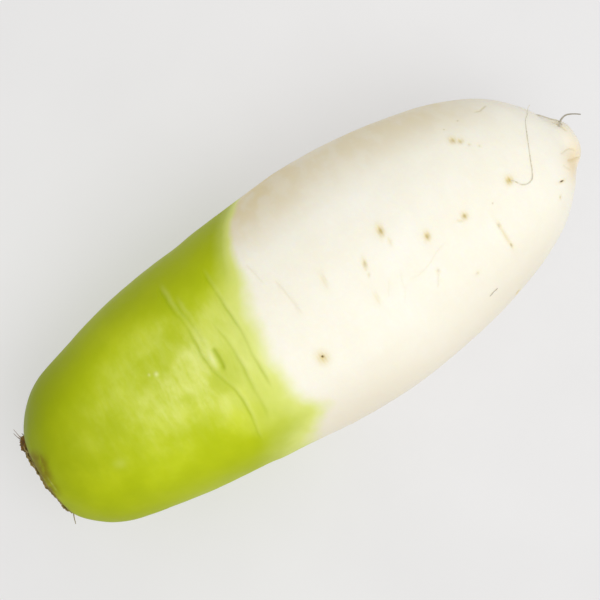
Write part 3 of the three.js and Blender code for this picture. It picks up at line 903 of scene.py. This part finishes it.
def add_turned(bm, profile, axis, steps):
    """Spins a profile of points all the way round an axis and closes it at its poles."""
    before = len(bm.verts)
    verts = [bm.verts.new(point) for point in profile]
    edges = [bm.edges.new(pair) for pair in zip(verts, verts[1:])]
    bmesh.ops.spin(
        bm, geom=verts + edges, axis=axis, cent=(0, 0, 0), angle=2 * math.pi, steps=steps, use_merge=True
    )
    bmesh.ops.remove_doubles(bm, verts=list(bm.verts)[before:], dist=1e-3)


def with_hollow(placed, along):
    """The skin's points with the hollow that the crown sits in, and a lip of skin round it."""
    local = moved(placed, crown_frame.inverted())
    out = np.hypot(local[:, 0], local[:, 1])
    clock = np.arctan2(local[:, 1], local[:, 0])
    rim = CROWN_RADIUS + LIP_WAVES["height"] * np.sin(LIP_WAVES["count"] * clock)
    inside = ramp((rim + LIP_WIDTH - out) / LIP_WIDTH) * (along < HOLLOW_REACH)
    seat = np.minimum(local[:, 2], pad_level(out) - SEAT_GAP)
    local[:, 2] = local[:, 2] * (1 - inside) + seat * inside
    return moved(local, crown_frame)


def make_skin(material):
    marks = [*MARKS, *hidden_marks()]
    bm = bmesh.new()
    add_turned(bm, [(along, 0, radius) for along, radius in ring_places()], (1, 0, 0), TURN_STEPS)
    bmesh.ops.recalc_face_normals(bm, faces=bm.faces)
    bm.verts.index_update()
    refine_near(bm, marks)
    skin = finished("skin", bm, material)

    points = vertex_array(skin.data)
    along, radius = points[:, 0], np.hypot(points[:, 1], points[:, 2])
    turn = np.arctan2(points[:, 1], points[:, 2])
    creases, crease_shade, lips_highlight = crease_relief(along, turn)
    scars, halo, heart = scar_relief(along, turn, marks)
    bumps, bumps_highlight = bump_relief(along, turn)
    grooves, groove_shade = groove_relief(along, turn)
    relief = swelling(along, turn) + creases + scars + bumps + grooves
    relief += ramp(radius / FLESH_WAVES_FADE) * uneven(points, FLESH_WAVES)
    for height, middle, long, waves, shift, unequal in FOLDS:
        folds = np.sin(waves * turn + shift + unequal * np.sin(2 * turn))
        relief += height * bell((along - middle) / long) * folds
    world = moved(with_hollow(place(along, turn, radius + relief), along), lying)
    world[:, 2] = np.maximum(world[:, 2], 0)
    set_vertices(skin.data, world)

    degrees, side = np.degrees(turn), np.sin(turn)
    # Painted highlight of a broad sheen along the top, over a pale patch of the skin.
    sheen_and_pale_top = spot(along, degrees, SHEEN_AND_PALE_TOP) * (0.95 + 0.3 * clouds(points, 11, 7))
    # Painted shade towards the crown, deeper towards +Y.
    crown_end_shade = ramp((CROWN_END_SHADE["end"] - along) / CROWN_END_SHADE["end"])
    crown_end_shade *= CROWN_END_SHADE["usual"] + CROWN_END_SHADE["towards_y"] * side
    tongues = sum(reach * bell((degrees - middle) / half) for reach, middle, half in STAIN_TONGUES)
    stain = (STAIN["reach"] + tongues - along + clouds(points, 6, 4)) / STAIN["edge"]
    tail_tint = NOSE["strength"] * spot(along, degrees, NOSE)
    tail_tint += TIP["strength"] * bell((along - TIP["along"]) / TIP["long"])
    masks = {
        "soil_line": shoulder_line(along, turn),
        "sheen_and_pale_top": np.clip(sheen_and_pale_top, 0, 1),
        "crown_end_shade": crown_end_shade,
        # Painted shade on the flanks, partly a deeper tone of the skin.
        "flank_shade_and_tone": flank_share(np.abs(side), along, FLANK_SHADE_AND_TONE),
        "y_flank_shade_and_tan": flank_share(side, along, Y_FLANK_SHADE_AND_TAN),
        # Painted shade in the creases and grooves.
        "crease_shade_line": np.clip(np.maximum(crease_shade, groove_shade), 0, 1),
        # Painted highlight on the creases' lips and on the bumps.
        "ridge_highlight": np.maximum(lips_highlight, bumps_highlight),
        "scar_halo": np.clip(halo, 0, 1),
        "scar_heart": np.clip(heart, 0, 1),
        "crown_stain": ramp(stain),
        "tail_tint": np.clip(tail_tint, 0, 1),
    }
    add_masks(skin.data, masks)
    return skin


# Side roots and fibres.


def add_strand(bm, route, thick, thin, sides, step):
    """A tapering round strand on a smooth curve. Returns each vertex's share of the way along it."""
    curve = curve_through(route, 24)
    length = np.concatenate([[0], np.cumsum(np.linalg.norm(np.diff(curve, axis=0), axis=1))])
    count = max(4, round(length[-1] / step))
    wanted = np.linspace(0, length[-1], count + 1)
    stations = [Vector(point) for point in zip(*(np.interp(wanted, length, axis) for axis in curve.T))]
    befores, afters = [stations[0], *stations[:-1]], [*stations[1:], stations[-1]]
    headings = [(after - before).normalized() for before, after in zip(befores, afters)]
    radii = [thick + (thin - thick) * index / count for index in range(count + 1)]

    start = Matrix.Translation(stations[0]) @ headings[0].to_track_quat("Z", "Y").to_matrix().to_4x4()
    circle = bmesh.ops.create_circle(bm, cap_ends=True, segments=sides, radius=thick, matrix=start)
    ring = circle["verts"]
    edges = list({edge for vert in ring for edge in vert.link_edges if edge.other_vert(vert) in ring})
    shares = [0.0] * len(ring)
    for index in range(1, count + 1):
        extruded = bmesh.ops.extrude_edge_only(bm, edges=edges)["geom"]
        ring = [item for item in extruded if isinstance(item, bmesh.types.BMVert)]
        edges = [item for item in extruded if isinstance(item, bmesh.types.BMEdge)]
        turn = headings[index - 1].rotation_difference(headings[index]).to_matrix()
        for vert in ring:
            spoke = turn @ (vert.co - stations[index - 1])
            vert.co = stations[index] + spoke * (radii[index] / radii[index - 1])
        shares += [index / count] * len(ring)
    bmesh.ops.contextual_create(bm, geom=edges)
    return shares


def make_side_roots(material):
    bm = bmesh.new()
    dried = []
    for thick, thin, darkness, route in SIDE_ROOTS:
        points = [on_skin(*stop) for stop in route]
        shares = add_strand(bm, points, thick, thin, SIDE_ROOT_SIDES, SIDE_ROOT_STEP)
        dried += [darkness * (0.7 + 0.3 * share) for share in shares]
    bmesh.ops.recalc_face_normals(bm, faces=bm.faces)
    side_roots = finished("side_roots", bm, material)
    set_vertices(side_roots.data, moved(vertex_array(side_roots.data), lying))
    add_masks(side_roots.data, {"dried": np.array(dried)})
    return side_roots


# The crown.


def scale_top(across, phase):
    """Height of a scale's torn upper edge, as a share, from its middle to its tips at -1 and 1."""
    torn = sum(high * math.sin(waves * across + part * phase) for high, waves, part in SCALE_TEARS)
    return 1 - SCALE_SHAPE["tip_fall"] * across**2 + torn


def add_slab(bm, columns, rows, thickness):
    """A flat slab from -1 to 1 in X and Y. Returns its vertices."""
    before = len(bm.verts)
    grid = bmesh.ops.create_grid(bm, x_segments=columns, y_segments=rows, size=1.0)["verts"]
    faces = list({face for vert in grid for face in vert.link_faces})
    bmesh.ops.solidify(bm, geom=faces, thickness=thickness)
    return list(bm.verts)[before:]


def add_scale(bm, clock, radius, span, height, phase):
    """A dried leaf base, curved round the crown's middle. Returns how near its edge each vertex is."""
    edges = []
    for vert in add_slab(bm, *SCALE_STEPS, SCALE_THICKNESS):
        across, up, inwards = vert.co.x, (vert.co.y + 1) / 2, abs(vert.co.z)
        angle = math.radians(clock + across * span / 2)
        leaning = SCALE_SHAPE["skew"] * across + SCALE_SHAPE["flare"] * up * height
        out = radius + leaning - inwards
        top = height * scale_top(across, phase)
        level = BASE_SUNK + up * (top - BASE_SUNK)
        vert.co = (out * math.cos(angle), out * math.sin(angle), level)
        edges.append(max(0, min(1, 1 - (top - level) / SCALE_PALE_EDGE)))
    return edges


def add_stub(bm, clock, radius, span, height, thickness, phase):
    """A cut leaf stalk: a crescent with a dished top. Returns how far inside the cut each vertex is."""
    shares = []
    for vert in add_slab(bm, *STUB_STEPS, 1.0):
        across, through, at_base = vert.co.x, vert.co.y, abs(vert.co.z) > 0.5
        half = thickness / 2 * math.sqrt(1.05 - across**2)
        angle = math.radians(clock + across * span / 2)
        out = radius - STUB_SHAPE["bend"] * thickness * across**2 + half * through
        inside = (1 - through**2) * (1 - across**4)
        wave = STUB_SHAPE["wave"] * math.sin(5 * across + phase)
        share = 1 - STUB_SHAPE["tip_fall"] * across**2 + wave + STUB_SHAPE["slope"] * through
        top = pad_level(radius) + height * share - STUB_DISH * inside
        vert.co = (out * math.cos(angle), out * math.sin(angle), BASE_SUNK if at_base else top)
        shares.append(0.0 if at_base else min(1, 2.2 * inside))
    return shares


def add_stubs(bm, draw):
    """The cut stalks, in a spiral from the crown's middle. Returns what add_stub does."""
    inside = []
    for index in range(STUBS):
        out = math.sqrt(index / (STUBS - 1))
        radius, length, height, thickness = (
            first + (last - first) * out
            for first, last in (STUB_RADIUS, STUB_LENGTH, STUB_HEIGHT, STUB_THICKNESS)
        )
        clock = index * STUB_SPIRAL + draw.uniform(-STUB_SCATTER, STUB_SCATTER)
        height *= draw.uniform(*STUB_HEIGHTS)
        span = min(STUB_WIDEST, math.degrees(length / radius))
        inside += add_stub(bm, clock, radius, span, height, thickness, draw.uniform(0, 6))
    return inside


def add_scales(bm, draw):
    """The torn scales round the rim, in rings. Returns what add_scale does."""
    edges = []
    for radius, count, span, height in SCALE_RINGS:
        for index in range(count):
            scattered = index + draw.uniform(-SCALE_SCATTER, SCALE_SCATTER)
            clock = 360 * scattered / count + radius * SCALE_RING_SHIFT
            off_tuft = ((clock - TUFT["clock"] + 180) % 360 - 180) / TUFT["spread"]
            tall = height * draw.uniform(*SCALE_HEIGHTS)
            tall *= 1 + TUFT["taller"] * math.exp(-off_tuft**2)
            tall *= 1 + TALLER_TOWARDS_Y * math.sin(math.radians(clock))
            edges += add_scale(bm, clock, radius, span, tall, draw.uniform(0, 6))
    return edges


def add_fibres(bm):
    start = CROWN_RADIUS - FIBRE_INSET
    for clock, length, curl, rise, radius in FIBRES:
        course = [(start, 0, 0.1)]
        for outwards, sideways, upwards in FIBRE_COURSE:
            course.append((start + outwards * length, sideways * curl, 0.4 + upwards * rise))
        around = Matrix.Rotation(math.radians(clock), 4, "Z")
        route = [tuple(around @ Vector(point)) for point in course]
        add_strand(bm, route, radius, FIBRE_TAPER * radius, FIBRE_SIDES, FIBRE_STEP)


def add_pad(bm):
    """The low brown pad under the leaf bases."""
    shares = np.linspace(0, 1, PAD_RINGS)
    under = [(CROWN_RADIUS * share, 0, -PAD_BELOW * pad_share(share)) for share in shares]
    over = [(CROWN_RADIUS * share, 0, PAD_ABOVE * pad_share(share)) for share in reversed(shares)]
    add_turned(bm, [*under, *over], (0, 0, 1), PAD_STEPS)


def make_crown(material):
    """The crown. Its pad is made last, so that the other vertices keep their order for the masks."""
    draw = random.Random(CROWN_SEED)
    bm = bmesh.new()
    cut_tops = add_stubs(bm, draw)
    torn_edges = add_scales(bm, draw)
    add_fibres(bm)
    fibre_end = len(bm.verts)
    add_pad(bm)
    bmesh.ops.recalc_face_normals(bm, faces=bm.faces)
    crown = finished("leaf_crown", bm, material)

    points = vertex_array(crown.data)
    order = np.arange(len(points))
    scale_start, scale_end = len(cut_tops), len(cut_tops) + len(torn_edges)
    is_scale = (order >= scale_start) & (order < scale_end)
    is_fibre = (order >= scale_end) & (order < fibre_end)
    is_pad = order >= fibre_end
    out = np.hypot(points[:, 0], points[:, 1])
    above_pad = points[:, 2] - pad_level(out)
    points[:, 2] += np.where(is_fibre, 0.0, uneven(points, CROWN_WAVES))

    off_tuft = (np.degrees(np.arctan2(points[:, 1], points[:, 0])) - TUFT["clock"]) / TUFT["spread"]
    torn = np.where(is_fibre, 0.6, 0.0)
    torn[:scale_end] = [*(0.85 * share for share in cut_tops), *torn_edges]
    # Painted shade: on the pad, except at its rim, and on the leaf bases' low parts near the pad.
    pad_shade = 0.75 * ramp((0.98 - out / CROWN_RADIUS) / 0.1)
    low_shade = 0.6 * ramp((0.5 - above_pad) / 0.8) * ~is_fibre
    masks = {
        "torn_edge": torn * np.clip(0.62 + 0.6 * clouds(points, 3.0, 8), 0, 1),
        "tuft": bell(off_tuft) * (0.9 * is_fibre + 0.8 * is_scale),
        "gap": np.where(is_pad, pad_shade, low_shade),
    }
    add_masks(crown.data, masks)
    set_vertices(crown.data, moved(points, lying @ crown_frame))
    return crown


# The floor, the light and the camera.

FLOOR_SIZE = 4.0
LAMP = {"place": (0.24, -0.48, 1.3), "aim": (0, 0, 0.04), "power": 7.5, "size": 1.0}
LAMP_COLOUR = (1.0, 0.99, 0.97)
FLOOR_GLOW = 0.45
SKY = {"colour": (255, 254, 252), "strength": 0.68}
LENS = 100
SENSOR = 36
VIEW_HEIGHT = 0.718
VIEW_MIDDLE = (-0.0042, 0.00268)
VIEW_TURN = math.radians(-32.66)


def make_floor():
    material, nodes, shader = new_material(
        "pale_floor",
        Specular_IOR_Level=0.1,
        Emission_Color=linear(255, 254, 253),
        Emission_Strength=FLOOR_GLOW,
    )
    cloudy = nodes.patches(9.0, 0.3, 0.7, detail=4.0)
    nodes.feed(shader["Base Color"], nodes.mix(cloudy, linear(160, 160, 162), linear(166, 166, 168)))
    nodes.feed(shader["Roughness"], nodes.range(cloudy, 0.0, 1.0, 0.6, 0.7))
    bm = bmesh.new()
    bmesh.ops.create_grid(bm, x_segments=4, y_segments=4, size=FLOOR_SIZE / 2)
    return finished("floor", bm, material, smooth=False)


def make_surroundings():
    world = bpy.data.worlds.new("studio")
    world.use_nodes = True
    background = world.node_tree.nodes["Background"].inputs
    background["Color"].default_value = linear(*SKY["colour"])
    background["Strength"].default_value = SKY["strength"]
    bpy.context.scene.world = world
    bpy.context.scene.view_settings.view_transform = "Standard"

    light = bpy.data.lights.new("overhead", "AREA")
    light.shape = "DISK"
    light.size = LAMP["size"]
    light.energy = LAMP["power"]
    light.color = LAMP_COLOUR
    lamp = bpy.data.objects.new("overhead", light)
    lamp.location = LAMP["place"]
    aim = Vector(LAMP["aim"]) - Vector(LAMP["place"])
    lamp.rotation_euler = aim.to_track_quat("-Z", "Y").to_euler()
    bpy.context.scene.collection.objects.link(lamp)


def make_camera():
    camera = bpy.data.cameras.new("camera")
    camera.lens = LENS
    camera.sensor_width = SENSOR
    viewer = bpy.data.objects.new("camera", camera)
    viewer.location = (*VIEW_MIDDLE, VIEW_HEIGHT)
    viewer.rotation_euler = (0, 0, VIEW_TURN)
    bpy.context.scene.collection.objects.link(viewer)
    bpy.context.scene.camera = viewer


make_camera()
make_surroundings()
make_floor()

skin = make_skin(skin_material())
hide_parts("radish_root")
side_roots = make_side_roots(side_root_material())
crown = make_crown(crown_material())
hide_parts("leaf_stubs")
for piece in (skin, side_roots, crown):
    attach(piece, "root")
